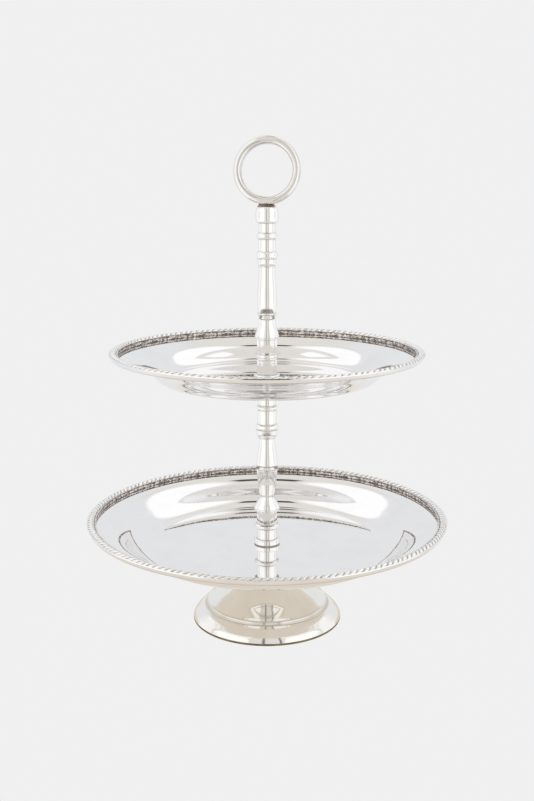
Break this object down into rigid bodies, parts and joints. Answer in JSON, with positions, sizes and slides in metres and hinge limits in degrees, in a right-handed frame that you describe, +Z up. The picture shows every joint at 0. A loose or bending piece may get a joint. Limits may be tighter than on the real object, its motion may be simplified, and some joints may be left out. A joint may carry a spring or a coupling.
{
  "type": "tiered cake stand",
  "caption": "Two-tier serving stand: shallow rope-rimmed dishes on turned stems above a spun trumpet foot, with a finger ring to carry it by.",
  "frame": {"origin": "centre of the foot's resting face, on the table", "axes": "+Z up along the stems and the tie rods, +X to the right and -Y to the front, the side that the finger ring faces"},
  "size_m": [0.25, 0.25, 0.3327],
  "materials": {
    "silver": "polished",
    "stem_silver": "polished",
    "ring_silver": "polished",
    "rope_silver": "gloss",
    "oxidised_silver": "satin",
    "foot_edge": "satin",
    "solder": "satin",
    "steel": "satin",
    "brass_boss": "satin",
    "washer": "matte"
  },
  "bodies": {
    "foot": {"foot_shell": "silver", "foot_edge_ring": "foot_edge", "foot_boss": "brass_boss", "foot_seat_washer": "washer"},
    "lower_dish": {"lower_plate": "silver", "lower_rim_rope": "rope_silver", "lower_rim_band": "oxidised_silver"},
    "lower_washer": {"lower_stem_washer": "washer"},
    "lower_stem": {"lower_stem_base": "stem_silver", "lower_stem_vase": "stem_silver", "lower_stem_column": "stem_silver", "lower_tie_rod": "steel", "upper_seat_washer": "washer"},
    "upper_dish": {"upper_plate": "silver", "upper_rim_rope": "rope_silver", "upper_rim_band": "oxidised_silver"},
    "upper_washer": {"upper_stem_washer": "washer"},
    "upper_stem": {"upper_stem_base": "stem_silver", "upper_stem_vase": "stem_silver", "upper_stem_collar": "stem_silver", "upper_stem_column": "stem_silver", "upper_tie_rod": "steel", "handle_ball": "stem_silver", "handle_ring": "ring_silver", "handle_solder": "solder"}
  },
  "joints": [
    {"name": "lower_dish_lift", "type": "slide", "parent": "foot", "child": "lower_dish", "axis": [0, 0, 1], "range_m": [0, 0.06]},
    {"name": "lower_stem_turn", "type": "hinge", "parent": "lower_dish", "child": "lower_washer", "pos_m": [0, 0, 0.0538], "axis": [0, 0, 1], "range_deg": [0, 4320]},
    {"name": "lower_stem_rise", "type": "slide", "parent": "lower_washer", "child": "lower_stem", "axis": [0, 0, 1], "range_m": [0, 0.01201]},
    {"name": "upper_dish_lift", "type": "slide", "parent": "lower_stem", "child": "upper_dish", "axis": [0, 0, 1], "range_m": [0, 0.06]},
    {"name": "upper_stem_turn", "type": "hinge", "parent": "upper_dish", "child": "upper_washer", "pos_m": [0, 0, 0.1725], "axis": [0, 0, 1], "range_deg": [0, 4320]},
    {"name": "upper_stem_rise", "type": "slide", "parent": "upper_washer", "child": "upper_stem", "axis": [0, 0, 1], "range_m": [0, 0.01201]}
  ],
  "couplings": [
    {"joint": "lower_stem_rise", "follows": "lower_stem_turn", "m_per_rad": 0.00015915},
    {"joint": "upper_stem_rise", "follows": "upper_stem_turn", "m_per_rad": 0.00015915}
  ]
}
